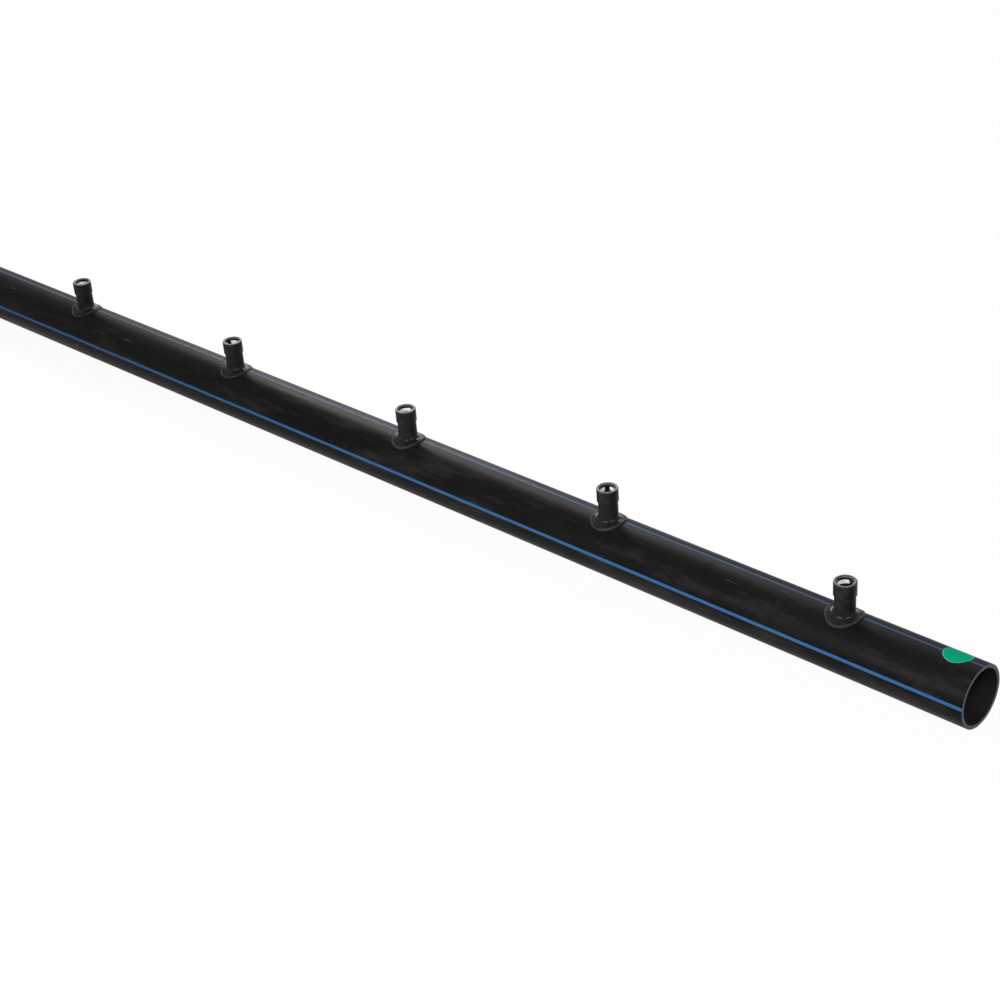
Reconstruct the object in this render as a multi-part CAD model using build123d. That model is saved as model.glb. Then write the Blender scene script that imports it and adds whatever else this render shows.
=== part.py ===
from build123d import *
import os

# Heating manifold: a straight black polyethylene header pipe with blue stripes along it, and a row of
# push-fit outlets welded on along its crown.
# Frame: the origin is the centre of the pipe's left end. The pipe's axis is +X and the outlets point up, +Z.
# Lengths are in millimetres and angles in degrees.

# Header pipe: 110 x 6.6 pressure pipe, with a tail past the first and the last outlet
PIPE_DIAMETER = 110.0
PIPE_WALL = 6.6
OUTLET_COUNT = 6
OUTLET_PITCH = 500.0
TAIL_LENGTH = 255.0

# Stripes, extruded into the pipe's skin and flush with it. The first one lies a little behind the crown.
STRIPE_NAMES = ("stripe_crown", "stripe_rear", "stripe_underside", "stripe_front")
STRIPE_WIDTH = 6.0
STRIPE_DEPTH = 0.6
STRIPE_TURN = 6.5

# Round sticker near the right end, a little behind the crown
STICKER_DIAMETER = 50.0
STICKER_THICKNESS = 0.2
STICKER_FROM_END = 50.0
STICKER_TURN = 13.0

# Tube that the outlets take. The outlets' widths follow from it.
TUBE_DIAMETER = 25.0
SOCKET_CLEARANCE = 0.2
SOCKET_DEPTH = 44.0
TUBE_STOP_WIDTH = 2.5

# Split ring that grips the tube, in the cap's cone
RING_SLACK = 0.3
RING_LENGTH = 7.0
RING_TOP_WALL = 1.8
RING_FOOT_WALL = 4.2
RING_BORE_TAPER = 0.4
RING_GAP = 9.0
RING_TURNS = (20.0, 250.0, 170.0, 310.0, 132.0, 80.0)

# Bush that presses on the seal, and the seal itself
BUSH_LENGTH = 6.0
BUSH_CLEARANCE = 0.1
SEAL_SECTION = 3.1
SEAL_FLAT = 1.5
SEAL_SQUEEZE = 0.05
CHAMBER_CLEARANCE = 0.05

# Cap that closes the top of the outlet
CAP_LENGTH = 28.0
CAP_SKIRT_WALL = 2.6
CAP_RIM_ROUND = 2.0
CAP_RIM_STEPS = 3
CAP_FOOT_CHAMFER = 2.5
CAP_CLEARANCE = 0.05
LIP_SLACK = 0.5
LIP_DEPTH = 6.5
MOUTH_FLARE = 2.4

# Saddle, the foot that is welded on the pipe, and the outlet body above it
OUTLET_HEIGHT = 62.0
BODY_STEP = 1.8
SADDLE_FLANGE = 15.4
SADDLE_RISE = 3.6
SADDLE_RIM_CHAMFER = 1.8
SADDLE_ROOT_SLOPE = 2.4

# Pipe, worked out from the sizes above
PIPE_RADIUS = PIPE_DIAMETER / 2
PIPE_BORE_RADIUS = PIPE_RADIUS - PIPE_WALL
PIPE_LENGTH = 2 * TAIL_LENGTH + (OUTLET_COUNT - 1) * OUTLET_PITCH

# Outlet heights, from the rim down
RIM_Z = PIPE_RADIUS + OUTLET_HEIGHT
SHOULDER_Z = RIM_Z - CAP_LENGTH
LIP_Z = RIM_Z - LIP_DEPTH
RING_FOOT_Z = LIP_Z - RING_LENGTH
BUSH_FOOT_Z = RING_FOOT_Z - BUSH_LENGTH
SEAL_FLOOR_Z = BUSH_FOOT_Z - SEAL_SECTION
TUBE_STOP_Z = RIM_Z - SOCKET_DEPTH

# Outlet radii, from the tube outwards
TUBE_RADIUS = TUBE_DIAMETER / 2
FLOW_RADIUS = TUBE_RADIUS - TUBE_STOP_WIDTH
SOCKET_RADIUS = TUBE_RADIUS + SOCKET_CLEARANCE
SEAL_INNER_RADIUS = TUBE_RADIUS - SEAL_SQUEEZE
SEAL_OUTER_RADIUS = SEAL_INNER_RADIUS + SEAL_SECTION
CHAMBER_RADIUS = SEAL_OUTER_RADIUS + CHAMBER_CLEARANCE
BUSH_RADIUS = CHAMBER_RADIUS - BUSH_CLEARANCE
RING_BORE_RADIUS = TUBE_RADIUS + RING_SLACK
RING_TOP_RADIUS = RING_BORE_RADIUS + RING_TOP_WALL
LIP_RADIUS = RING_BORE_RADIUS + LIP_SLACK
MOUTH_RADIUS = LIP_RADIUS + MOUTH_FLARE
SKIRT_BORE_RADIUS = RING_BORE_RADIUS + RING_FOOT_WALL
SPIGOT_RADIUS = SKIRT_BORE_RADIUS - CAP_CLEARANCE
CAP_RADIUS = SKIRT_BORE_RADIUS + CAP_SKIRT_WALL
BODY_RADIUS = CAP_RADIUS - BODY_STEP
SADDLE_RADIUS = BODY_RADIUS + SADDLE_FLANGE


def outlet_place(number):
    """The place of one outlet: on the pipe's axis, with the outlet's own axis as Z."""
    return Pos(TAIL_LENGTH + number * OUTLET_PITCH, 0, 0)


def along_pipe(radius, length):
    """A solid cylinder on the X axis, centred on the origin."""
    return Cylinder(radius, length, rotation=(0, 90, 0))


def upright(radius, low, high):
    """A solid cylinder on the Z axis between two heights."""
    return Pos(0, 0, low) * Cylinder(radius, high - low, align=(Align.CENTER, Align.CENTER, Align.MIN))


def turned(points):
    """A turned solid: the outline is given as radius and height about the Z axis."""
    outline = Polyline(*[(r, 0, z) for r, z in points], close=True)
    return revolve(make_face(outline), Axis.Z)


def saddle_foot():
    """The saddle's foot: a round disc laid over the pipe, with its upper edge chamfered. It reaches the pipe's axis."""
    top = PIPE_RADIUS + SADDLE_RISE
    disc = upright(SADDLE_RADIUS, 0, RIM_Z) & along_pipe(top, 3 * SADDLE_RADIUS)
    upper_edge = [e for e in disc.edges() if e.bounding_box().min.Z > PIPE_RADIUS / 2]
    return chamfer(upper_edge, SADDLE_RIM_CHAMFER)


def stripe_blank(turn):
    """One stripe along the whole pipe, before the outlet holes are drilled through it."""
    skin = along_pipe(PIPE_RADIUS, PIPE_LENGTH) - along_pipe(PIPE_RADIUS - STRIPE_DEPTH, PIPE_LENGTH)
    strip = Pos(0, 0, PIPE_RADIUS) * Box(PIPE_LENGTH, STRIPE_WIDTH, PIPE_WALL)
    return Pos(PIPE_LENGTH / 2, 0, 0) * Rot(turn, 0, 0) * (skin & strip)


def outlet_holes():
    """The holes through the crown that feed the outlets."""
    return [outlet_place(i) * upright(FLOW_RADIUS, 0, RIM_Z) for i in range(OUTLET_COUNT)]


def header_pipe(stripes):
    """The pipe, with grooves that the stripes fill and one flow hole under each outlet."""
    tube = along_pipe(PIPE_RADIUS, PIPE_LENGTH) - along_pipe(PIPE_BORE_RADIUS, PIPE_LENGTH)
    return Pos(PIPE_LENGTH / 2, 0, 0) * tube - stripes - outlet_holes()


def sticker():
    """A thin round label wrapped on the pipe."""
    skin = along_pipe(PIPE_RADIUS + STICKER_THICKNESS, STICKER_DIAMETER) - along_pipe(PIPE_RADIUS, STICKER_DIAMETER)
    label = skin & upright(STICKER_DIAMETER / 2, 0, RIM_Z)
    return Pos(PIPE_LENGTH - STICKER_FROM_END, 0, 0) * Rot(-STICKER_TURN, 0, 0) * label


def saddle_outside():
    """The saddle's foot and the outlet body above it, without its bores."""
    body = saddle_foot() + upright(BODY_RADIUS, PIPE_RADIUS, SHOULDER_Z)
    root = [
        e for e in body.edges()
        if PIPE_RADIUS < e.bounding_box().min.Z and e.bounding_box().max.Z < PIPE_RADIUS + 2 * SADDLE_RISE
    ]
    return chamfer(root, SADDLE_ROOT_SLOPE) - along_pipe(PIPE_RADIUS, 3 * SADDLE_RADIUS)


def outlet_saddle():
    """One moulding: the foot welded on the pipe, the socket for the tube and the seal chamber."""
    spigot = upright(SPIGOT_RADIUS, TUBE_STOP_Z, RING_FOOT_Z)
    bores = turned([
        (0, 0),
        (FLOW_RADIUS, 0),
        (FLOW_RADIUS, TUBE_STOP_Z),
        (SOCKET_RADIUS, TUBE_STOP_Z),
        (SOCKET_RADIUS, SEAL_FLOOR_Z),
        (CHAMBER_RADIUS, SEAL_FLOOR_Z),
        (CHAMBER_RADIUS, RIM_Z),
        (0, RIM_Z),
    ])
    return saddle_outside() + spigot - bores


def outlet_cap():
    """The cap: a smooth collar with a funnel mouth, a cone for the split ring and a skirt over the spigot."""
    rim_centre = CAP_RADIUS - CAP_RIM_ROUND
    rim = []
    for i in range(CAP_RIM_STEPS + 1):
        step = Vector(CAP_RIM_ROUND, 0, 0).rotate(Axis.Y, -90 * i / CAP_RIM_STEPS)
        rim.append((rim_centre + step.X, RIM_Z - CAP_RIM_ROUND + step.Z))
    return turned([
        (SKIRT_BORE_RADIUS, SHOULDER_Z),
        (BODY_RADIUS, SHOULDER_Z),
        (CAP_RADIUS, SHOULDER_Z + CAP_FOOT_CHAMFER),
        *rim,
        (MOUTH_RADIUS, RIM_Z),
        (LIP_RADIUS, RIM_Z - MOUTH_FLARE),
        (LIP_RADIUS, LIP_Z),
        (RING_TOP_RADIUS, LIP_Z),
        (SKIRT_BORE_RADIUS, RING_FOOT_Z),
    ])


def grip_ring():
    """The split ring: conical outside, open on one side, with a bore that narrows to a biting edge at its foot."""
    ring = turned([
        (RING_BORE_RADIUS, RING_FOOT_Z),
        (SKIRT_BORE_RADIUS, RING_FOOT_Z),
        (RING_TOP_RADIUS, LIP_Z),
        (RING_BORE_RADIUS + RING_BORE_TAPER, LIP_Z),
    ])
    gap_centre = Pos(SKIRT_BORE_RADIUS, 0, (RING_FOOT_Z + LIP_Z) / 2)
    return ring - gap_centre * Box(2 * SKIRT_BORE_RADIUS, RING_GAP, CAP_LENGTH)


def seal_bush():
    """The plain bush between the split ring and the seal."""
    return upright(BUSH_RADIUS, BUSH_FOOT_Z, RING_FOOT_Z) - upright(RING_BORE_RADIUS, BUSH_FOOT_Z, RING_FOOT_Z)


def o_ring():
    """The rubber seal between the floor of its chamber and the bush, flattened where they press on it."""
    middle = SEAL_INNER_RADIUS + SEAL_SECTION / 2
    waist_z = SEAL_FLOOR_Z + SEAL_SECTION / 2
    return turned([
        (SEAL_INNER_RADIUS, waist_z),
        (middle - SEAL_FLAT / 2, SEAL_FLOOR_Z),
        (middle + SEAL_FLAT / 2, SEAL_FLOOR_Z),
        (SEAL_OUTER_RADIUS, waist_z),
        (middle + SEAL_FLAT / 2, BUSH_FOOT_Z),
        (middle - SEAL_FLAT / 2, BUSH_FOOT_Z),
    ])


def build():
    """Every node by name, in place."""
    turn_step = 360 / len(STRIPE_NAMES)
    blanks = [stripe_blank(-STRIPE_TURN - i * turn_step) for i in range(len(STRIPE_NAMES))]
    holes = outlet_holes()
    nodes = {"header_pipe": header_pipe(blanks)}
    for name, blank in zip(STRIPE_NAMES, blanks):
        nodes[name] = blank - holes
    nodes["sticker"] = sticker()
    pieces = {"outlet_saddle": outlet_saddle(), "outlet_cap": outlet_cap(), "seal_bush": seal_bush(), "o_ring": o_ring()}
    ring = grip_ring()
    for i in range(OUTLET_COUNT):
        for name, piece in pieces.items():
            nodes[f"{name}_{i + 1}"] = outlet_place(i) * piece
        nodes[f"grip_ring_{i + 1}"] = outlet_place(i) * Rot(0, 0, RING_TURNS[i % len(RING_TURNS)]) * ring
    return nodes


os.makedirs("parts", exist_ok=True)
for node_name, shape in build().items():
    shape.label = node_name
    export_step(shape, f"parts/{node_name}.step")
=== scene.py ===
import math
import random

import bmesh
import bpy
import numpy as np
from mathutils import Matrix, Vector


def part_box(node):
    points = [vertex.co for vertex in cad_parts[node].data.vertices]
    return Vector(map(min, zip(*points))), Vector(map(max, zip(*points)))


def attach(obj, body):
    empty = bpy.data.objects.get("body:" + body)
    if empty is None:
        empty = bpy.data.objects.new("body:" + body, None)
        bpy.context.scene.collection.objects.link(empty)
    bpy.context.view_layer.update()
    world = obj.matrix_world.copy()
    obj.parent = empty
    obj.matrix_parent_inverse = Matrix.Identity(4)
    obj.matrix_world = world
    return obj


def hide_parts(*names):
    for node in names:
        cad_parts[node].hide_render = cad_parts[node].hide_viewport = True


# Heating manifold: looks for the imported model
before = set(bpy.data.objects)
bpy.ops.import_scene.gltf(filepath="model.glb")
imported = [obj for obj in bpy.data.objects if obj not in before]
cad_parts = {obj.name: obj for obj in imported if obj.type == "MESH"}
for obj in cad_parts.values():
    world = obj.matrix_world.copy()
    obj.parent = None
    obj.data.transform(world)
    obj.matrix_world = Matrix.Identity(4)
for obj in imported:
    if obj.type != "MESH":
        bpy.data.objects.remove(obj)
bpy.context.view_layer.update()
BODY = "root"

# Lengths are in metres, the small ones written as millimetres times MM. Turns are angles in radians.
MM = 0.001


def outlet_x(number):
    """Where an outlet's axis stands along the pipe."""
    low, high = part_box(f"outlet_saddle_{number}")
    return (low.x + high.x) / 2


# Header pipe
PIPE_LOW, PIPE_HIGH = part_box("header_pipe")
PIPE_START = PIPE_LOW.x
PIPE_END = PIPE_HIGH.x
PIPE_RADIUS = (PIPE_HIGH.y - PIPE_LOW.y) / 2
PIPE_WALL = 6.6 * MM
PIPE_BORE_RADIUS = PIPE_RADIUS - PIPE_WALL
PIPE_EDGE = 0.35 * MM
PIPE_STEPS = 60

# Stripes
STRIPE_DEGREES = {"stripe_crown": 0.0, "stripe_rear": 90.0, "stripe_underside": 180.0, "stripe_front": 270.0}
STRIPE_WIDTH = 6.0 * MM
STRIPE_DEPTH = 0.6 * MM
STRIPE_TURN = math.radians(6.5)
STRIPE_HALF_TURN = math.asin(STRIPE_WIDTH / 2 / PIPE_RADIUS)
STRIPE_STEP = 50.0 * MM
STRIPE_STEPS_ACROSS = 8
GROOVE_LIP_TURN = math.radians(0.03)
GROOVE_STEPS = 6
STEPS_BETWEEN_STRIPES = 56

# Sticker
STICKER_LOW, STICKER_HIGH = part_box("sticker")
STICKER_X = (STICKER_LOW.x + STICKER_HIGH.x) / 2
STICKER_RADIUS = (STICKER_HIGH.x - STICKER_LOW.x) / 2
STICKER_TURN = math.radians(13.0)
STICKER_THICKNESS = 0.2 * MM
STICKER_EDGE_SHARE = 0.94
STICKER_AROUND = 144

# Outlets: places
OUTLETS = range(1, 7)
OUTLET_X = {n: outlet_x(n) for n in OUTLETS}

# Outlets: heights, from the rim down
SOCKET_DEPTH = 44.0 * MM
RIM_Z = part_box("outlet_cap_1")[1].z
LIP_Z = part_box("grip_ring_1")[1].z
RING_FOOT_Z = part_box("grip_ring_1")[0].z
SEAL_FLOOR_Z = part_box("o_ring_1")[0].z
SHOULDER_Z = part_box("outlet_cap_1")[0].z
TUBE_STOP_Z = RIM_Z - SOCKET_DEPTH

# Outlets: radii, from the flow hole outwards
FLOW_RADIUS = 10.0 * MM
SOCKET_RADIUS = 12.7 * MM
RING_BORE_RADIUS = 12.8 * MM
LIP_RADIUS = 13.3 * MM
RING_TOP_RADIUS = 14.6 * MM
CHAMBER_RADIUS = 15.6 * MM
MOUTH_RADIUS = 15.7 * MM
SPIGOT_RADIUS = 16.95 * MM
SKIRT_BORE_RADIUS = 17.0 * MM
BODY_RADIUS = 17.8 * MM
CAP_RADIUS = 19.6 * MM
UNDERSIDE_RADIUS = 22.0 * MM
SADDLE_RADIUS = 32.2 * MM

# Saddle
SADDLE_RISE = 2.8 * MM
SADDLE_SOFT = 0.3 * MM
ROOT_FILLET = 7.0 * MM
RIM_ROUND = 1.8 * MM

# Cap
CAP_SOFT = 0.35 * MM
CAP_FLARE = 2.9 * MM
CAP_RIM_ROUND = 2.0 * MM
CAP_MOUTH_ROUND = 1.6 * MM
CAP_MOUTH_OFFSET = 0.41 * CAP_MOUTH_ROUND
CAP_THROAT_DROP = 0.6 * CAP_SOFT

# Split ring
RING_GAP = 9.0 * MM
RING_SOFT = 0.3 * MM
RING_LEAD_WIDTH = 0.7 * MM
RING_LEAD_HEIGHT = 0.9 * MM
RING_PLAIN_HEIGHT = 1.2 * MM
RING_TEETH = 5
TOOTH_OFFSET = 0.02 * MM
TOOTH_DEPTH = 0.55 * MM
TOOTH_HEIGHT_SHARE = 0.92

# Weld bead, with the waves that make it uneven
BEAD_INSET = 1.3 * MM
BEAD_LIFT = 0.7 * MM
BEAD_HALF_WIDTH = 2.3 * MM
BEAD_HALF_HEIGHT = 2.4 * MM
BEAD_SEED = 40
WAVES_AROUND = (2, 3, 5, 9, 14, 23)
WAVE_LOW = 0.02
WAVE_HIGH = 0.07
WAVE_PHASES = 6.28

# How far the second skins reach, and how squarely a face has to point to get one. The bore's second skin is
# painted light, the rim's a painted highlight.
BORE_SKIN_MARGIN = 1.0 * MM
ROOT_SKIN_MARGIN = 0.1 * MM
RIM_SKIN_OUTSIDE = 1.2 * MM
RIM_SKIN_INSIDE = 2.0 * MM
FACING_ALONG = 0.9
FACING_UP = 0.05

# How finely turned pieces are divided round their axis
OUTLET_AROUND = 160
BEAD_AROUND = 288
BEAD_SIDES = 12
RING_AROUND = 144
SEAL_AROUND = 96
SEAL_SIDES = 16
FLOW_HOLE_SIDES = 64


# Meshes

def link(name, data):
    """A new object in the scene."""
    obj = bpy.data.objects.new(name, data)
    bpy.context.scene.collection.objects.link(obj)
    return obj


def smooth(mesh, sharp):
    """Smooth faces, with sharp edges above an angle in degrees."""
    mesh.shade_smooth()
    mesh.set_sharp_from_angle(angle=math.radians(sharp))


def make_object(name, verts, faces, sharp=35.0):
    """A closed mesh object, with its faces turned outwards."""
    mesh = bpy.data.meshes.new(name)
    mesh.from_pydata([tuple(v) for v in verts], [], faces)
    bm = bmesh.new()
    bm.from_mesh(mesh)
    bmesh.ops.recalc_face_normals(bm, faces=bm.faces)
    bm.to_mesh(mesh)
    bm.free()
    smooth(mesh, sharp)
    return link(name, mesh)


def skin_over(rings, joined=True):
    """Vertices and faces over rings of equal length. The last ring joins the first, or each end is closed."""
    count = len(rings[0])
    rows = len(rings)
    verts = [p for ring in rings for p in ring]
    faces = []
    for i in range(rows if joined else rows - 1):
        a = i * count
        b = (i + 1) % rows * count
        for j in range(count):
            k = (j + 1) % count
            faces.append((a + j, a + k, b + k, b + j))
    if not joined:
        faces.append(tuple(range(count)))
        faces.append(tuple(range(len(verts) - count, len(verts))))
    return verts, faces


def turns_around(count):
    """Equal turns of a full circle."""
    return [2 * math.pi * j / count for j in range(count)]


def circle(x, radius, z, turns):
    """Points round the upright axis at x."""
    return [(x + radius * math.cos(t), radius * math.sin(t), z) for t in turns]


def arc_points(centre, radius, start, end, steps):
    """Points of an arc in a radius and height plane, angles in degrees."""
    angles = [math.radians(start + (end - start) * i / steps) for i in range(steps + 1)]
    return [(centre[0] + radius * math.cos(a), centre[1] + radius * math.sin(a)) for a in angles]


def lathe(name, outline, x, count=OUTLET_AROUND):
    """A turned closed piece from a closed outline of (radius, height), standing at x."""
    turns = turns_around(count)
    verts, faces = skin_over([circle(x, r, z, turns) for r, z in outline])
    return make_object(name, verts, faces)


def between(a, b, t):
    return a + (b - a) * t


def slerp(a, b, t):
    """A direction part of the way from one unit vector to another."""
    angle = math.acos(max(-1.0, min(1.0, float(np.dot(a, b)))))
    if angle < 1e-6:
        return a
    return (math.sin((1 - t) * angle) * a + math.sin(t * angle) * b) / math.sin(angle)


def skin_z(y, radius=PIPE_RADIUS):
    """The height over y of a cylinder on the pipe's axis."""
    return math.sqrt(radius ** 2 - y ** 2)


def on_section(x, radius, turn):
    """A point round the pipe's axis. Its turn starts at the crown and grows towards +Y."""
    return (x, radius * math.sin(turn), radius * math.cos(turn))


# Pipe and stripes

def pipe_section():
    """Turns and outer radii of the pipe's section, with a groove at each stripe."""
    section = []
    free = math.pi / 2 - 2 * STRIPE_HALF_TURN
    for degrees in STRIPE_DEGREES.values():
        middle = STRIPE_TURN + math.radians(degrees)
        start = middle - STRIPE_HALF_TURN
        end = middle + STRIPE_HALF_TURN
        section.append((start, PIPE_RADIUS))
        for i in range(GROOVE_STEPS + 1):
            turn = start + GROOVE_LIP_TURN + (STRIPE_HALF_TURN - GROOVE_LIP_TURN) * 2 * i / GROOVE_STEPS
            section.append((turn, PIPE_RADIUS - STRIPE_DEPTH))
        section.append((end, PIPE_RADIUS))
        for i in range(1, STEPS_BETWEEN_STRIPES):
            section.append((end + free * i / STEPS_BETWEEN_STRIPES, PIPE_RADIUS))
    return section


def make_tube():
    """The header pipe with stripe grooves and softened end edges."""
    section = pipe_section()
    length = PIPE_END - PIPE_START
    stations = [PIPE_START, PIPE_START + PIPE_EDGE]
    stations += [PIPE_START + length * i / PIPE_STEPS for i in range(1, PIPE_STEPS)]
    stations += [PIPE_END - PIPE_EDGE, PIPE_END]
    outer = []
    inner = []
    for x in stations:
        drop = PIPE_EDGE if x in (PIPE_START, PIPE_END) else 0.0
        outer.append([on_section(x, r - drop, t) for t, r in section])
        inner.append([on_section(x, PIPE_BORE_RADIUS + drop, t) for t, r in section])
    verts, faces = skin_over(outer + inner[::-1])
    return make_object("pipe", verts, faces)


def make_cutter(name, x):
    """A capped cylinder that drills one flow hole through the crown."""
    mesh = bpy.data.meshes.new(name)
    bm = bmesh.new()
    bmesh.ops.create_cone(
        bm, cap_ends=True, segments=FLOW_HOLE_SIDES, radius1=FLOW_RADIUS, radius2=FLOW_RADIUS,
        depth=PIPE_RADIUS, matrix=Matrix.Translation((x, 0.0, PIPE_RADIUS)),
    )
    bm.to_mesh(mesh)
    bm.free()
    return link(name, mesh)


def make_pipe():
    """The header pipe, drilled under each outlet."""
    pipe = make_tube()
    cutters = [make_cutter(f"cutter_{n}", x) for n, x in OUTLET_X.items()]
    for cutter in cutters:
        cut = pipe.modifiers.new(cutter.name, "BOOLEAN")
        cut.operation = "DIFFERENCE"
        cut.solver = "EXACT"
        cut.object = cutter
    bpy.context.view_layer.update()
    graph = bpy.context.evaluated_depsgraph_get()
    mesh = bpy.data.meshes.new_from_object(pipe.evaluated_get(graph))
    pipe.modifiers.clear()
    pipe.data = mesh
    for cutter in cutters:
        bpy.data.objects.remove(cutter)
    smooth(mesh, 25.0)
    return pipe


def stripe_runs(name):
    """Where a stripe runs along the pipe. The one on the crown stops at each flow hole."""
    stops = [PIPE_START]
    if name == "stripe_crown":
        for x in OUTLET_X.values():
            stops += [x - FLOW_RADIUS, x + FLOW_RADIUS]
    stops.append(PIPE_END)
    return zip(stops[::2], stops[1::2])


def make_stripe(name):
    """A stripe, flush with the pipe's skin, as one object of one run or more."""
    verts = []
    faces = []
    middle = STRIPE_TURN + math.radians(STRIPE_DEGREES[name])
    shares = [2 * j / STRIPE_STEPS_ACROSS - 1 for j in range(STRIPE_STEPS_ACROSS + 1)]
    turns = [middle + STRIPE_HALF_TURN * share for share in shares]
    for start, end in stripe_runs(name):
        rings = []
        steps = max(2, round((end - start) / STRIPE_STEP))
        for i in range(steps + 1):
            x = between(start, end, i / steps)
            top = [on_section(x, PIPE_RADIUS, t) for t in turns]
            foot = [on_section(x, PIPE_RADIUS - STRIPE_DEPTH, t) for t in turns[::-1]]
            rings.append(top + foot)
        run_verts, run_faces = skin_over(rings, joined=False)
        faces += [tuple(len(verts) + k for k in face) for face in run_faces]
        verts += run_verts
    return make_object(f"{name}_skin", verts, faces)


# Sticker

def make_sticker():
    """The round label, wrapped on the pipe, with a soft edge."""
    outline = (
        (0.02, 1.0), (0.3, 1.0), (0.6, 1.0), (0.85, 1.0), (0.93, 1.0), (0.993, 0.9), (1.0, 0.5),
        (1.0, 0.1), (0.6, 0.1), (0.02, 0.1),
    )
    rings = []
    for radius_share, thickness_share in outline:
        reach = PIPE_RADIUS + STICKER_THICKNESS * thickness_share
        ring = []
        for turn in turns_around(STICKER_AROUND):
            along = STICKER_RADIUS * radius_share * math.cos(turn)
            across = STICKER_RADIUS * radius_share * math.sin(turn)
            ring.append(on_section(STICKER_X + along, reach, math.asin(across / PIPE_RADIUS) + STICKER_TURN))
        rings.append(ring)
    verts, faces = skin_over(rings, joined=False)
    return make_object("label", verts, faces, sharp=60.0)


# Saddle and weld bead

def ball_centre(plan, reach, turn):
    """A point at one distance from the outlet's axis and another from the pipe's axis."""
    y = plan * math.sin(turn)
    return np.array([plan * math.cos(turn), y, skin_z(y, reach)])


def outward(turn):
    """The direction away from the outlet's axis."""
    return np.array([math.cos(turn), math.sin(turn), 0.0])


def root_centre(turn):
    """The centre of the ball that rolls between the body and the saddle's top."""
    return ball_centre(BODY_RADIUS + ROOT_FILLET, PIPE_RADIUS + SADDLE_RISE + ROOT_FILLET, turn)


def rim_centre(turn):
    """The centre of the ball that rolls inside the saddle's upper edge."""
    return ball_centre(SADDLE_RADIUS - RIM_ROUND, PIPE_RADIUS + SADDLE_RISE - RIM_ROUND, turn)


def body_point(turn, share):
    """A point of the body's side, from the shoulder down to the root."""
    point = BODY_RADIUS * outward(turn)
    point[2] = between(SHOULDER_Z, root_centre(turn)[2], share)
    return point


def root_point(turn, share):
    """A point of the rolled root, from the body out to the saddle's top."""
    centre = root_centre(turn)
    down = -np.array([0.0, centre[1], centre[2]]) / (PIPE_RADIUS + SADDLE_RISE + ROOT_FILLET)
    return centre + ROOT_FILLET * slerp(-outward(turn), down, share)


def top_point(turn, share):
    """A point of the saddle's top, from the root out to the rim."""
    point = between(root_point(turn, 1.0), rim_point(turn, 0.0), share)
    point[2] = skin_z(point[1], PIPE_RADIUS + SADDLE_RISE)
    return point


def rim_point(turn, share):
    """A point of the saddle's rounded rim, from its top over to its wall."""
    centre = rim_centre(turn)
    up = np.array([0.0, centre[1], centre[2]]) / (PIPE_RADIUS + SADDLE_RISE - RIM_ROUND)
    return centre + RIM_ROUND * slerp(up, outward(turn), share)


def wall_point(turn, share):
    """A point of the saddle's low wall, from the rim down to the pipe."""
    point = SADDLE_RADIUS * outward(turn)
    point[2] = between(rim_centre(turn)[2], skin_z(point[1]), share)
    return point


# The stretches of the saddle's skin from the shoulder down, each with its number of steps
SADDLE_PARTS = ((body_point, 6), (root_point, 10), (top_point, 3), (rim_point, 7), (wall_point, 2))


def make_saddle(number):
    """Foot, body, spigot and socket in one closed mesh."""
    x = OUTLET_X[number]
    turns = turns_around(OUTLET_AROUND)
    outline = [
        (FLOW_RADIUS, TUBE_STOP_Z),
        (SOCKET_RADIUS, TUBE_STOP_Z),
        (SOCKET_RADIUS, SEAL_FLOOR_Z - SADDLE_SOFT),
        (SOCKET_RADIUS + SADDLE_SOFT, SEAL_FLOOR_Z),
        (CHAMBER_RADIUS, SEAL_FLOOR_Z),
        (CHAMBER_RADIUS, RING_FOOT_Z),
        (SPIGOT_RADIUS, RING_FOOT_Z),
        (SPIGOT_RADIUS, SHOULDER_Z),
        (BODY_RADIUS - SADDLE_SOFT, SHOULDER_Z),
        (BODY_RADIUS, SHOULDER_Z - SADDLE_SOFT),
    ]
    rings = [circle(x, r, z, turns) for r, z in outline]
    for part, steps in SADDLE_PARTS:
        for i in range(1, steps + 1):
            points = [part(t, i / steps) for t in turns]
            rings.append([(x + p[0], p[1], p[2]) for p in points])
    for r in (UNDERSIDE_RADIUS, FLOW_RADIUS):
        rings.append([(x + r * math.cos(t), r * math.sin(t), skin_z(r * math.sin(t))) for t in turns])
    verts, faces = skin_over(rings)
    return make_object(f"saddle_{number}", verts, faces, sharp=40.0)


def make_bead(number):
    """The weld bead squeezed out round the saddle's foot, slightly uneven."""
    x = OUTLET_X[number]
    draw = random.Random(BEAD_SEED + number)
    waves = [(k, draw.uniform(WAVE_LOW, WAVE_HIGH), draw.uniform(0, WAVE_PHASES)) for k in WAVES_AROUND]
    rings = []
    for turn in turns_around(BEAD_AROUND):
        size = 1.0 + sum(swell * math.sin(k * turn + phase) for k, swell, phase in waves)
        centre = ball_centre(SADDLE_RADIUS - BEAD_INSET, PIPE_RADIUS + BEAD_LIFT, turn)
        normal = np.array([0.0, centre[1], centre[2]]) / PIPE_RADIUS
        sideways = outward(turn)
        sideways -= normal * np.dot(sideways, normal)
        sideways /= np.linalg.norm(sideways)
        ring = []
        for a in turns_around(BEAD_SIDES):
            width = BEAD_HALF_WIDTH * size * math.cos(a)
            height = BEAD_HALF_HEIGHT * size * math.sin(a)
            p = centre + sideways * width + normal * height
            ring.append((x + p[0], p[1], p[2]))
        rings.append(ring)
    verts, faces = skin_over(rings)
    return make_object(f"weld_bead_{number}", verts, faces, sharp=60.0)


# Cap, split ring and seal

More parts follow.
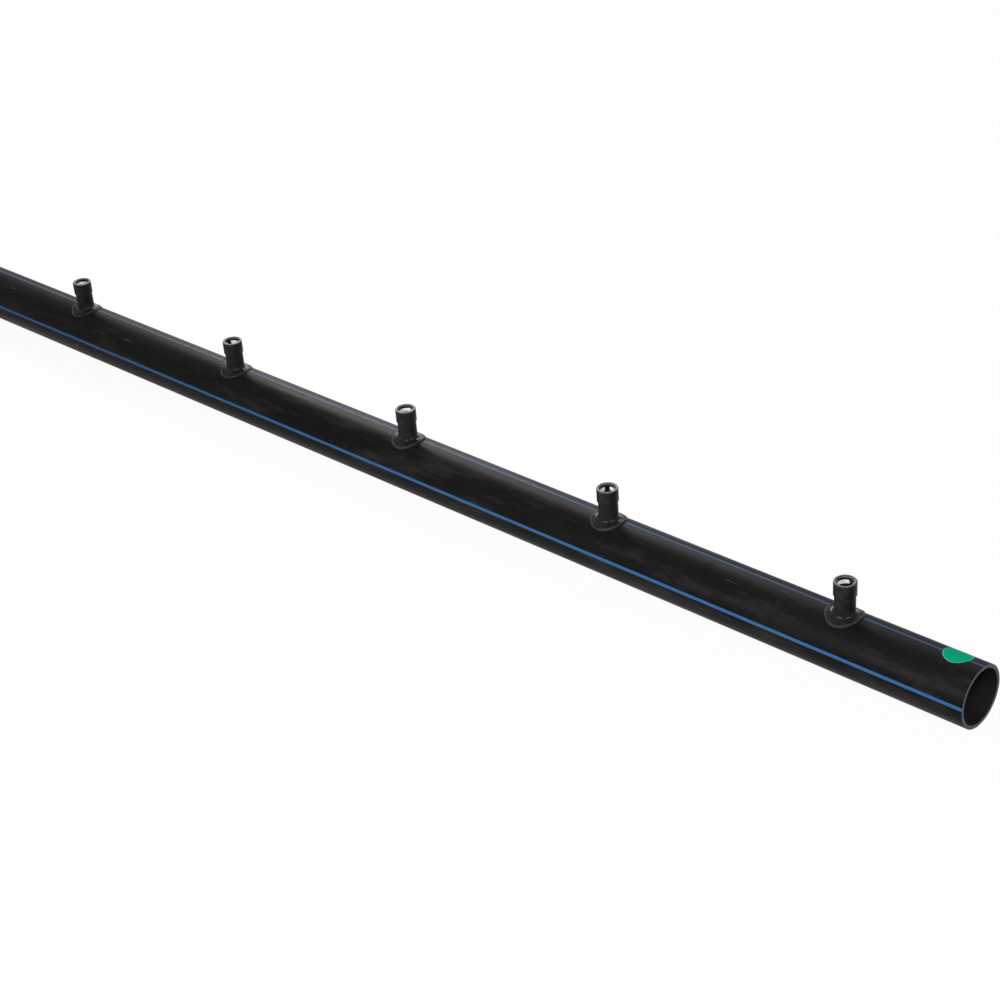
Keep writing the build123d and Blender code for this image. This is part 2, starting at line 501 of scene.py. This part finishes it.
def cap_outline():
    """The cap's outline, with a rounded rim, a funnel mouth and softened edges."""
    throat_z = RIM_Z - (MOUTH_RADIUS - LIP_RADIUS)
    rim = (CAP_RADIUS - CAP_RIM_ROUND, RIM_Z - CAP_RIM_ROUND)
    mouth = (MOUTH_RADIUS + CAP_MOUTH_OFFSET, RIM_Z - CAP_MOUTH_ROUND)
    throat = (LIP_RADIUS + CAP_SOFT, throat_z - CAP_THROAT_DROP)
    return [
        (SKIRT_BORE_RADIUS, SHOULDER_Z),
        (BODY_RADIUS, SHOULDER_Z),
        (CAP_RADIUS - CAP_SOFT, SHOULDER_Z + CAP_FLARE - 2 * CAP_SOFT),
        (CAP_RADIUS, SHOULDER_Z + CAP_FLARE),
        *arc_points(rim, CAP_RIM_ROUND, 0, 90, 10),
        *arc_points(mouth, CAP_MOUTH_ROUND, 90, 135, 6),
        *arc_points(throat, CAP_SOFT, 135, 180, 4),
        (LIP_RADIUS, LIP_Z),
        (RING_TOP_RADIUS, LIP_Z),
        (SKIRT_BORE_RADIUS, RING_FOOT_Z),
    ]


def ring_outline():
    """The split ring's outline, with the fine teeth of its bore."""
    pitch = (LIP_Z - RING_FOOT_Z - RING_PLAIN_HEIGHT) / RING_TEETH
    outline = [
        (RING_TOP_RADIUS, LIP_Z),
        (SKIRT_BORE_RADIUS - RING_SOFT, RING_FOOT_Z + RING_SOFT),
        (SKIRT_BORE_RADIUS - 2 * RING_SOFT, RING_FOOT_Z),
    ]
    for i in range(RING_TEETH):
        z = RING_FOOT_Z + i * pitch
        outline.append((RING_BORE_RADIUS + TOOTH_OFFSET, z))
        outline.append((RING_BORE_RADIUS + TOOTH_DEPTH, z + TOOTH_HEIGHT_SHARE * pitch))
    outline.append((RING_BORE_RADIUS + RING_SOFT, LIP_Z - RING_LEAD_HEIGHT))
    outline.append((RING_BORE_RADIUS + RING_LEAD_WIDTH, LIP_Z))
    return outline


def ring_gap_turn(number):
    """The direction that a split ring's gap faces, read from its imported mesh."""
    x = OUTLET_X[number]
    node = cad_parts[f"grip_ring_{number}"]
    turns = sorted({round(math.atan2(v.co.y, v.co.x - x), 4) for v in node.data.vertices})
    gaps = [(turns[(i + 1) % len(turns)] - t) % (2 * math.pi) for i, t in enumerate(turns)]
    widest = gaps.index(max(gaps))
    return turns[widest] + gaps[widest] / 2


def make_grip_ring(number):
    """The split ring with fine teeth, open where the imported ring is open."""
    x = OUTLET_X[number]
    gap_turn = ring_gap_turn(number)
    outline = ring_outline()
    rings = []
    for i in range(RING_AROUND + 1):
        ring = []
        for r, z in outline:
            edge = math.asin(RING_GAP / 2 / r)
            turn = gap_turn + edge + (2 * math.pi - 2 * edge) * i / RING_AROUND
            ring.append((x + r * math.cos(turn), r * math.sin(turn), z))
        rings.append(ring)
    verts, faces = skin_over(rings, joined=False)
    return make_object(f"split_ring_{number}", verts, faces, sharp=30.0)


def make_seal(number):
    """The rubber seal as a round-section ring."""
    low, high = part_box(f"o_ring_{number}")
    section = (high.z - low.z) / 2
    centre = ((high.x - low.x) / 2 - section, low.z + section)
    last_angle = 360.0 * (SEAL_SIDES - 1) / SEAL_SIDES
    outline = arc_points(centre, section, 0, last_angle, SEAL_SIDES - 1)
    return lathe(f"seal_{number}", outline, OUTLET_X[number], SEAL_AROUND)


# Materials

class Nodes:
    """Short calls for building a material's node tree."""

    def __init__(self, name):
        self.material = bpy.data.materials.new(name)
        self.material.use_nodes = True
        self.tree = self.material.node_tree
        self.tree.nodes.clear()
        self.out = self.add("ShaderNodeOutputMaterial")
        self.bsdf = self.add("ShaderNodeBsdfPrincipled")
        self.join(self.bsdf, "BSDF", self.out, "Surface")

    def add(self, kind, **values):
        node = self.tree.nodes.new(kind)
        for key, value in values.items():
            setattr(node, key, value)
        return node

    def join(self, a, out, b, into):
        self.tree.links.new(a.outputs[out], b.inputs[into])

    def noise(self, scale, stretch, detail, rough):
        """Noise in the object's own coordinates, stretched along each axis."""
        coords = self.add("ShaderNodeTexCoord")
        mapping = self.add("ShaderNodeMapping")
        mapping.inputs["Scale"].default_value = stretch
        self.join(coords, "Object", mapping, "Vector")
        node = self.add("ShaderNodeTexNoise")
        node.inputs["Scale"].default_value = scale
        node.inputs["Detail"].default_value = detail
        node.inputs["Roughness"].default_value = rough
        self.join(mapping, "Vector", node, "Vector")
        return node

    def span(self, node, low, high, to_low=0.0, to_high=1.0):
        """Maps a stretch of a noise to another stretch, clamped."""
        ranged = self.add("ShaderNodeMapRange")
        ranged.inputs["From Min"].default_value = low
        ranged.inputs["From Max"].default_value = high
        ranged.inputs["To Min"].default_value = to_low
        ranged.inputs["To Max"].default_value = to_high
        self.join(node, "Fac", ranged, "Value")
        return ranged

    def mix(self, factor, a, b):
        """A colour between two colours. Each is a tuple or an earlier mix."""
        node = self.add("ShaderNodeMix", data_type="RGBA")
        self.join(factor, 0, node, 0)
        for slot, value in ((6, a), (7, b)):
            if isinstance(value, tuple):
                node.inputs[slot].default_value = (*value, 1.0)
            else:
                self.join(value, 2, node, slot)
        return node

    def math(self, kind, a, b):
        node = self.add("ShaderNodeMath", operation=kind)
        for slot, value in ((0, a), (1, b)):
            if isinstance(value, float):
                node.inputs[slot].default_value = value
            else:
                self.join(value, 0, node, slot)
        return node

    def bump(self, height, depth, under=None):
        """A bump of a depth in metres, over an earlier one if there is one."""
        node = self.add("ShaderNodeBump")
        node.inputs["Strength"].default_value = 1.0
        node.inputs["Distance"].default_value = depth
        self.join(height, 0, node, "Height")
        if under:
            self.join(under, "Normal", node, "Normal")
        return node

    def finish(self, colour, roughness, bump, specular):
        self.join(colour, 2, self.bsdf, "Base Color")
        self.join(roughness, 0, self.bsdf, "Roughness")
        self.join(bump, "Normal", self.bsdf, "Normal")
        self.bsdf.inputs["Specular IOR Level"].default_value = specular
        return self.material


EVEN = (1.0, 1.0, 1.0)
FILM_BROWN = (0.034, 0.03, 0.026)
SCUFF_GREY = (0.075, 0.07, 0.064)


def paler(colour, times):
    return tuple(min(1.0, times * c) for c in colour)


def extruded_skin(name, dark, light, specular, low_rough, high_rough, dusty=0.5, dirt=0.0):
    """Extruded polyethylene: drawn lines along the pipe, dusty clouds, smears and fine scratches.
    With dirt it also has a brown film and pale scuffs."""
    m = Nodes(name)
    clouds = m.noise(9.0, (0.35, 1.0, 1.0), 5.0, 0.6)
    drawn = m.noise(420.0, (0.012, 1.0, 1.0), 3.0, 0.6)
    scratch = m.noise(60.0, (0.08, 1.0, 1.0), 8.0, 0.7)
    fine = m.noise(900.0, EVEN, 2.0, 0.5)
    smear = m.noise(26.0, (0.2, 1.0, 1.0), 7.0, 0.68)
    worn = m.span(scratch, 0.66, 0.78)
    dust = m.span(clouds, 0.42, 0.72, 0.0, dusty)
    colour = m.mix(dust, dark, light)
    colour = m.mix(m.math("MULTIPLY", worn, 0.55), colour, paler(light, 2.6))
    if dirt:
        film = m.span(smear, 0.5, 0.72, 0.0, dirt)
        colour = m.mix(film, colour, FILM_BROWN)
        scuff = m.span(m.noise(210.0, (0.07, 1.0, 1.0), 3.0, 0.5), 0.69, 0.74)
        rubbed = m.span(m.noise(7.0, (0.5, 1.0, 1.0), 3.0, 0.5), 0.5, 0.6)
        colour = m.mix(m.math("MULTIPLY", scuff, rubbed), colour, SCUFF_GREY)
    cloudy = m.span(clouds, 0.35, 0.7, low_rough, high_rough)
    streaks = m.math("ADD", m.span(smear, 0.3, 0.7, -0.05, 0.07), m.span(drawn, 0.35, 0.65, -0.03, 0.04))
    rough = m.math("ADD", cloudy, streaks)
    lines = m.bump(drawn, 0.06 * MM)
    grain = m.bump(fine, 0.02 * MM, under=lines)
    cuts = m.bump(worn, 0.08 * MM, under=grain)
    return m.finish(colour, rough, cuts, specular)


def moulded(name, dark, light, specular, low_rough, high_rough, grain_scale=1600.0):
    """Injection moulded plastic: fine spark-eroded grain, faint flow clouds and rubbed marks."""
    m = Nodes(name)
    clouds = m.noise(70.0, EVEN, 4.0, 0.6)
    grain = m.noise(grain_scale, EVEN, 2.0, 0.6)
    rub = m.noise(140.0, (0.4, 1.0, 0.25), 6.0, 0.65)
    worn = m.span(rub, 0.64, 0.78)
    colour = m.mix(m.span(clouds, 0.4, 0.7), dark, light)
    colour = m.mix(m.math("MULTIPLY", worn, 0.35), colour, paler(light, 2.2))
    rough = m.span(clouds, 0.35, 0.7, low_rough, high_rough)
    fine = m.bump(grain, 0.03 * MM)
    return m.finish(colour, rough, m.bump(worn, 0.04 * MM, under=fine), specular)


def sawn(name, dark, light, specular, low_rough, high_rough):
    """A sawn end of the pipe: straight saw lines across it and a paler, rougher colour."""
    m = Nodes(name)
    lines = m.noise(300.0, (1.0, 0.12, 4.0), 6.0, 0.7)
    clouds = m.noise(60.0, EVEN, 4.0, 0.6)
    colour = m.mix(m.span(lines, 0.35, 0.68), dark, light)
    rough = m.span(clouds, 0.35, 0.7, low_rough, high_rough)
    return m.finish(colour, rough, m.bump(lines, 0.12 * MM), specular)


PIPE_SKIN = extruded_skin(
    "pipe_skin", (0.0045, 0.0045, 0.005), (0.009, 0.0088, 0.0085), 0.03, 0.36, 0.46, 0.5, dirt=0.6)
# The bore gets a paler copy of the pipe's black: painted light inside the bore, with a glossier finish.
PIPE_BORE_PAINTED_LIGHT = extruded_skin("pipe_bore_painted_light", (0.014, 0.014, 0.0145), (0.023, 0.023, 0.023), 0.3, 0.3, 0.38)
PIPE_CUT = sawn("pipe_cut", (0.012, 0.012, 0.012), (0.038, 0.038, 0.038), 0.4, 0.45, 0.62)
STRIPE_SKIN = extruded_skin(
    "stripe_skin", (0.024, 0.09, 0.22), (0.036, 0.096, 0.21), 0.04, 0.34, 0.46, 0.4)
# The crown stripe gets a darker, greyer blue than the other stripes, with more of its paler mix.
STRIPE_TOP_SKIN = extruded_skin(
    "stripe_top_skin", (0.022, 0.05, 0.11), (0.034, 0.052, 0.085), 0.04, 0.34, 0.46, 0.8)
OUTLET_SKIN = moulded("outlet_skin", (0.01, 0.01, 0.0108), (0.017, 0.017, 0.018), 0.035, 0.3, 0.4)
ROOT_SKIN = moulded("root_skin", (0.007, 0.007, 0.0075), (0.012, 0.012, 0.0125), 0.1, 0.17, 0.23)
CAP_SKIN = moulded("cap_skin", (0.01, 0.01, 0.0108), (0.017, 0.017, 0.018), 0.05, 0.3, 0.4, 2200.0)
# The cap's rim gets a paler grey than the cap: painted highlight on the rim, over a glossier finish.
RIM_GLOSS_AND_PAINTED_HIGHLIGHT = moulded("rim_gloss_and_painted_highlight", (0.03, 0.03, 0.03), (0.055, 0.055, 0.055), 0.4, 0.46, 0.54, 900.0)
# The weld bead gets a paler black than the saddle: painted highlight along the bead.
BEAD_PAINTED_HIGHLIGHT = moulded("bead_painted_highlight", (0.024, 0.0235, 0.023), (0.042, 0.041, 0.039), 0.04, 0.26, 0.36, 700.0)
RING_SKIN = moulded("ring_skin", (0.84, 0.84, 0.81), (0.88, 0.88, 0.85), 0.5, 0.22, 0.32)
BUSH_SKIN = moulded("bush_skin", (0.014, 0.014, 0.0145), (0.02, 0.02, 0.0205), 0.4, 0.34, 0.44)
SEAL_SKIN = moulded("seal_skin", (0.012, 0.012, 0.012), (0.02, 0.02, 0.02), 0.4, 0.45, 0.6, 3000.0)
LABEL_SKIN = moulded("label_skin", (0.0, 0.25, 0.145), (0.0, 0.28, 0.168), 0.01, 0.4, 0.5, 500.0)
# The label's outer edge gets a paler green: painted highlight along its edge.
LABEL_EDGE_PAINTED_HIGHLIGHT = moulded("label_edge_painted_highlight", (0.01, 0.33, 0.21), (0.02, 0.37, 0.24), 0.02, 0.4, 0.5, 500.0)


# Pieces with their materials

def dress(obj, material, slot, *nodes):
    """Gives a piece its material and body, and hides the nodes that it stands for. The slot is not used."""
    obj.data.materials.clear()
    obj.data.materials.append(material)
    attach(obj, BODY)
    if nodes:
        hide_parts(*nodes)
    return obj


def second_skin(obj, material, chosen):
    """Gives another material to the faces that pass a test."""
    index = len(obj.data.materials)
    obj.data.materials.append(material)
    for face in obj.data.polygons:
        if chosen(face):
            face.material_index = index


def on_cut(face):
    """Faces of the pipe's sawn ends."""
    return abs(face.normal.x) > FACING_ALONG


def in_bore(face):
    """Faces of the pipe's inside."""
    reach = math.hypot(face.center.y, face.center.z)
    return not on_cut(face) and reach < PIPE_BORE_RADIUS + BORE_SKIN_MARGIN


def on_label_edge(face):
    """Faces of the sticker's outer edge."""
    around = math.atan2(face.center.y, face.center.z) - STICKER_TURN
    distance = math.hypot(PIPE_RADIUS * around, face.center.x - STICKER_X)
    return distance > STICKER_EDGE_SHARE * STICKER_RADIUS


def dress_outlet(number):
    """All the pieces of one outlet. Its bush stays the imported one."""
    x = OUTLET_X[number]

    def on_root(face):
        reach = math.hypot(face.center.x - x, face.center.y)
        near = BODY_RADIUS + ROOT_SKIN_MARGIN < reach < BODY_RADIUS + ROOT_FILLET
        return near and face.normal.z > FACING_UP

    def on_rim(face):
        inside = math.hypot(face.center.x - x, face.center.y) < MOUTH_RADIUS
        return face.center.z > RIM_Z - (RIM_SKIN_INSIDE if inside else RIM_SKIN_OUTSIDE)

    saddle = dress(make_saddle(number), OUTLET_SKIN, "outlet_black", f"outlet_saddle_{number}")
    second_skin(saddle, ROOT_SKIN, on_root)
    # The bead takes the painted highlight.
    dress(make_bead(number), BEAD_PAINTED_HIGHLIGHT, "outlet_black")
    cap = dress(lathe(f"cap_{number}", cap_outline(), x), CAP_SKIN, "cap_black", f"outlet_cap_{number}")
    # The rim faces take the painted highlight.
    second_skin(cap, RIM_GLOSS_AND_PAINTED_HIGHLIGHT, on_rim)
    dress(make_grip_ring(number), RING_SKIN, "ring_white", f"grip_ring_{number}")
    dress(make_seal(number), SEAL_SKIN, "seal_rubber", f"o_ring_{number}")
    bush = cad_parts[f"seal_bush_{number}"]
    bush.data.materials.clear()
    bush.data.materials.append(BUSH_SKIN)


header = dress(make_pipe(), PIPE_SKIN, "pipe_black", "header_pipe")
second_skin(header, PIPE_CUT, on_cut)
# The inside faces take the painted light.
second_skin(header, PIPE_BORE_PAINTED_LIGHT, in_bore)
for stripe_name in STRIPE_DEGREES:
    stripe_skin = STRIPE_TOP_SKIN if stripe_name == "stripe_crown" else STRIPE_SKIN
    dress(make_stripe(stripe_name), stripe_skin, "stripe_blue", stripe_name)
label = dress(make_sticker(), LABEL_SKIN, "sticker_green", "sticker")
# The label's edge faces take the painted highlight.
second_skin(label, LABEL_EDGE_PAINTED_HIGHLIGHT, on_label_edge)
for outlet in OUTLETS:
    dress_outlet(outlet)


# Camera, fitted to the photograph

CAMERA_PLACE = Vector((4.39131, -2.37608, 2.01073))
CAMERA_RIGHT = Vector((0.7316400, 0.6776804, -0.0738385))
CAMERA_DOWN = Vector((0.3022938, -0.4196189, -0.8558846))
CAMERA_FORWARD = Vector((-0.6110002, 0.6038785, -0.5118686))
SENSOR_MM = 36.0
LENS_MM = 76.54
FARTHEST = 100.0


def make_camera():
    data = bpy.data.cameras.new("camera")
    data.sensor_width = SENSOR_MM
    data.sensor_height = SENSOR_MM
    data.lens = LENS_MM
    data.clip_end = FARTHEST
    camera = link("camera", data)
    turn = Matrix((CAMERA_RIGHT, -CAMERA_DOWN, -CAMERA_FORWARD)).transposed()
    camera.matrix_world = Matrix.Translation(CAMERA_PLACE) @ turn.to_4x4()
    bpy.context.scene.camera = camera


# Light and surroundings

WHITE = (1.0, 1.0, 1.0)
WARM = (1.0, 0.95, 0.88)
WORLD_FILL = 0.17
FLOOR_SPAN = 30.0
FLOOR_DROP = 0.5 * MM
FLOOR_GREY = (0.8, 0.8, 0.8)
FLOOR_WHITE_SHARE = 0.95


def area_light(name, place, target, size, power, size_y=None, colour=WHITE):
    """A soft lamp aimed at a point, square unless it has a second size."""
    data = bpy.data.lights.new(name, "AREA")
    data.energy = power
    data.color = colour
    data.size = size
    if size_y:
        data.shape = "RECTANGLE"
        data.size_y = size_y
    light = link(name, data)
    light.location = place
    aim = Vector(target) - Vector(place)
    light.rotation_euler = aim.to_track_quat("-Z", "Y").to_euler()


def seen_white(tree):
    """A value that is 1 for camera, glossy and transmission rays."""
    path = tree.nodes.new("ShaderNodeLightPath")
    total = path.outputs["Is Camera Ray"]
    for kind in ("Is Glossy Ray", "Is Transmission Ray"):
        most = tree.nodes.new("ShaderNodeMath")
        most.operation = "MAXIMUM"
        tree.links.new(total, most.inputs[0])
        tree.links.new(path.outputs[kind], most.inputs[1])
        total = most.outputs[0]
    return total


def mixed(tree, factor, first, second, out):
    """Two shaders mixed by a value, into an output node."""
    mix = tree.nodes.new("ShaderNodeMixShader")
    tree.links.new(factor, mix.inputs[0])
    tree.links.new(first.outputs[0], mix.inputs[1])
    tree.links.new(second.outputs[0], mix.inputs[2])
    tree.links.new(mix.outputs[0], out.inputs["Surface"])


def make_world():
    """An even, dim fill that is seen as white."""
    world = bpy.data.worlds.new("studio")
    bpy.context.scene.world = world
    world.use_nodes = True
    tree = world.node_tree
    tree.nodes.clear()
    out = tree.nodes.new("ShaderNodeOutputWorld")
    fill = tree.nodes.new("ShaderNodeBackground")
    fill.inputs["Color"].default_value = (*WHITE, 1.0)
    fill.inputs["Strength"].default_value = WORLD_FILL
    white = tree.nodes.new("ShaderNodeBackground")
    white.inputs["Color"].default_value = (*WHITE, 1.0)
    white.inputs["Strength"].default_value = 1.0
    mixed(tree, seen_white(tree), fill, white, out)


def make_floor():
    """A pale floor that renders white and keeps a faint shadow of the object."""
    mesh = bpy.data.meshes.new("floor")
    level = PIPE_LOW.z - FLOOR_DROP
    corners = [(-1, -1), (1, -1), (1, 1), (-1, 1)]
    mesh.from_pydata([(a * FLOOR_SPAN, b * FLOOR_SPAN, level) for a, b in corners], [], [(0, 1, 2, 3)])
    floor = link("floor", mesh)
    material = bpy.data.materials.new("floor")
    material.use_nodes = True
    tree = material.node_tree
    tree.nodes.clear()
    out = tree.nodes.new("ShaderNodeOutputMaterial")
    card = tree.nodes.new("ShaderNodeBsdfDiffuse")
    card.inputs["Color"].default_value = (*FLOOR_GREY, 1.0)
    glow = tree.nodes.new("ShaderNodeEmission")
    glow.inputs["Strength"].default_value = 1.0
    share = tree.nodes.new("ShaderNodeMath")
    share.operation = "MULTIPLY"
    share.inputs[1].default_value = FLOOR_WHITE_SHARE
    tree.links.new(seen_white(tree), share.inputs[0])
    mixed(tree, share.outputs[0], card, glow, out)
    mesh.materials.append(material)


make_camera()
make_world()
make_floor()
area_light("key_high", (-0.7, 1.5, 2.12), (1.6, 0.0, 0.05), 1.0, 78.0, 0.9, WARM)
area_light("key_low", (-1.0, 2.9, 1.0), (1.9, 0.0, 0.05), 1.4, 24.0, 0.5)
area_light("rim_panel", (0.8, 1.8, 1.95), (2.4, 0.0, 0.05), 1.2, 40.0, 0.8)
area_light("front_panel", (2.15, -1.9, 0.8), (2.95, 0.0, 0.05), 1.1, 35.0)
area_light("end_box", (3.9, -1.2, 1.7), (2.7, 0.0, 0.08), 0.6, 30.0)
bpy.context.scene.view_settings.view_transform = "Standard"
